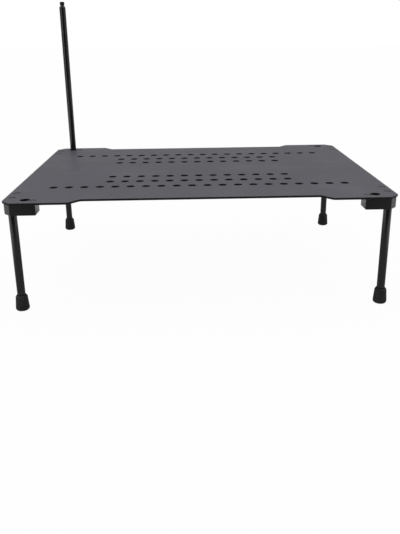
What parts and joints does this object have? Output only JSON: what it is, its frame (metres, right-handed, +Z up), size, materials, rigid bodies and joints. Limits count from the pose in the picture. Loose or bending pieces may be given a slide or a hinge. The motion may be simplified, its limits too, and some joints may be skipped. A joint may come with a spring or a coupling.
{
  "type": "folding camp table",
  "caption": "Low folding camp table: a perforated aluminium plate on folding tube legs with rubber feet, and a lift-off lamp pole in a corner socket.",
  "frame": {"origin": "on the floor under the middle of the plate, at the centre of the bounding box's bottom face", "axes": "+Z up, +X along the plate's long edges, -Y is the front; the lamp pole stands in the rear left corner (-X, +Y)"},
  "size_m": [0.4, 0.31, 0.32],
  "materials": {
    "plate_anodised": "dark grey anodised, fine blasted satin",
    "bracket_black": "black anodised, satin",
    "tube_black": "black anodised drawn tube, semi-gloss",
    "rivet_grey": "dark grey, flush",
    "steel": "turned, plain",
    "spring_steel": "oil-blackened strip",
    "brass": "turned, dull",
    "rubber_black": "matt moulded"
  },
  "bodies": {
    "root": {"table_plate": "plate_anodised", "corner_bracket_front_left": "bracket_black", "socket_bush_front_left": "brass", "leaf_spring_front_left": "spring_steel", "pivot_pin_front_left": "steel", "rivet_front_left_side_1": "rivet_grey", "rivet_front_left_side_2": "rivet_grey", "rivet_front_left_front": "rivet_grey", "corner_bracket_front_right": "bracket_black", "socket_bush_front_right": "brass", "leaf_spring_front_right": "spring_steel", "pivot_pin_front_right": "steel", "rivet_front_right_side_1": "rivet_grey", "rivet_front_right_side_2": "rivet_grey", "rivet_front_right_front": "rivet_grey", "corner_bracket_rear_left": "bracket_black", "socket_bush_rear_left": "brass", "leaf_spring_rear_left": "spring_steel", "pivot_pin_rear_left": "steel", "rivet_rear_left_side_1": "rivet_grey", "rivet_rear_left_side_2": "rivet_grey", "rivet_rear_left_front": "rivet_grey", "corner_bracket_rear_right": "bracket_black", "socket_bush_rear_right": "brass", "leaf_spring_rear_right": "spring_steel", "pivot_pin_rear_right": "steel", "rivet_rear_right_side_1": "rivet_grey", "rivet_rear_right_side_2": "rivet_grey", "rivet_rear_right_front": "rivet_grey"},
    "leg_front_left": {"leg_tube_front_left": "tube_black", "hinge_lug_front_left": "steel", "rubber_foot_front_left": "rubber_black"},
    "leg_front_right": {"leg_tube_front_right": "tube_black", "hinge_lug_front_right": "steel", "rubber_foot_front_right": "rubber_black"},
    "leg_rear_left": {"leg_tube_rear_left": "tube_black", "hinge_lug_rear_left": "steel", "rubber_foot_rear_left": "rubber_black"},
    "leg_rear_right": {"leg_tube_rear_right": "tube_black", "hinge_lug_rear_right": "steel", "rubber_foot_rear_right": "rubber_black"},
    "lamp_pole": {"pole_tube": "tube_black", "pole_base_spigot": "steel", "pole_tip_stud": "bracket_black"}
  },
  "joints": [
    {"name": "leg_fold_front_left", "type": "hinge", "parent": "root", "child": "leg_front_left", "pos_m": [-0.1913, -0.1426, 0.11015], "axis": [1, 0, 0], "range_deg": [0, 90]},
    {"name": "leg_fold_front_right", "type": "hinge", "parent": "root", "child": "leg_front_right", "pos_m": [0.1913, -0.1426, 0.11015], "axis": [1, 0, 0], "range_deg": [0, 90]},
    {"name": "leg_fold_rear_left", "type": "hinge", "parent": "root", "child": "leg_rear_left", "pos_m": [-0.1913, 0.1426, 0.11015], "axis": [-1, 0, 0], "range_deg": [0, 90]},
    {"name": "leg_fold_rear_right", "type": "hinge", "parent": "root", "child": "leg_rear_right", "pos_m": [0.1913, 0.1426, 0.11015], "axis": [-1, 0, 0], "range_deg": [0, 90]},
    {"name": "pole_lift", "type": "slide", "parent": "root", "child": "lamp_pole", "axis": [0, 0, 1], "range_m": [0, 0.03]}
  ]
}
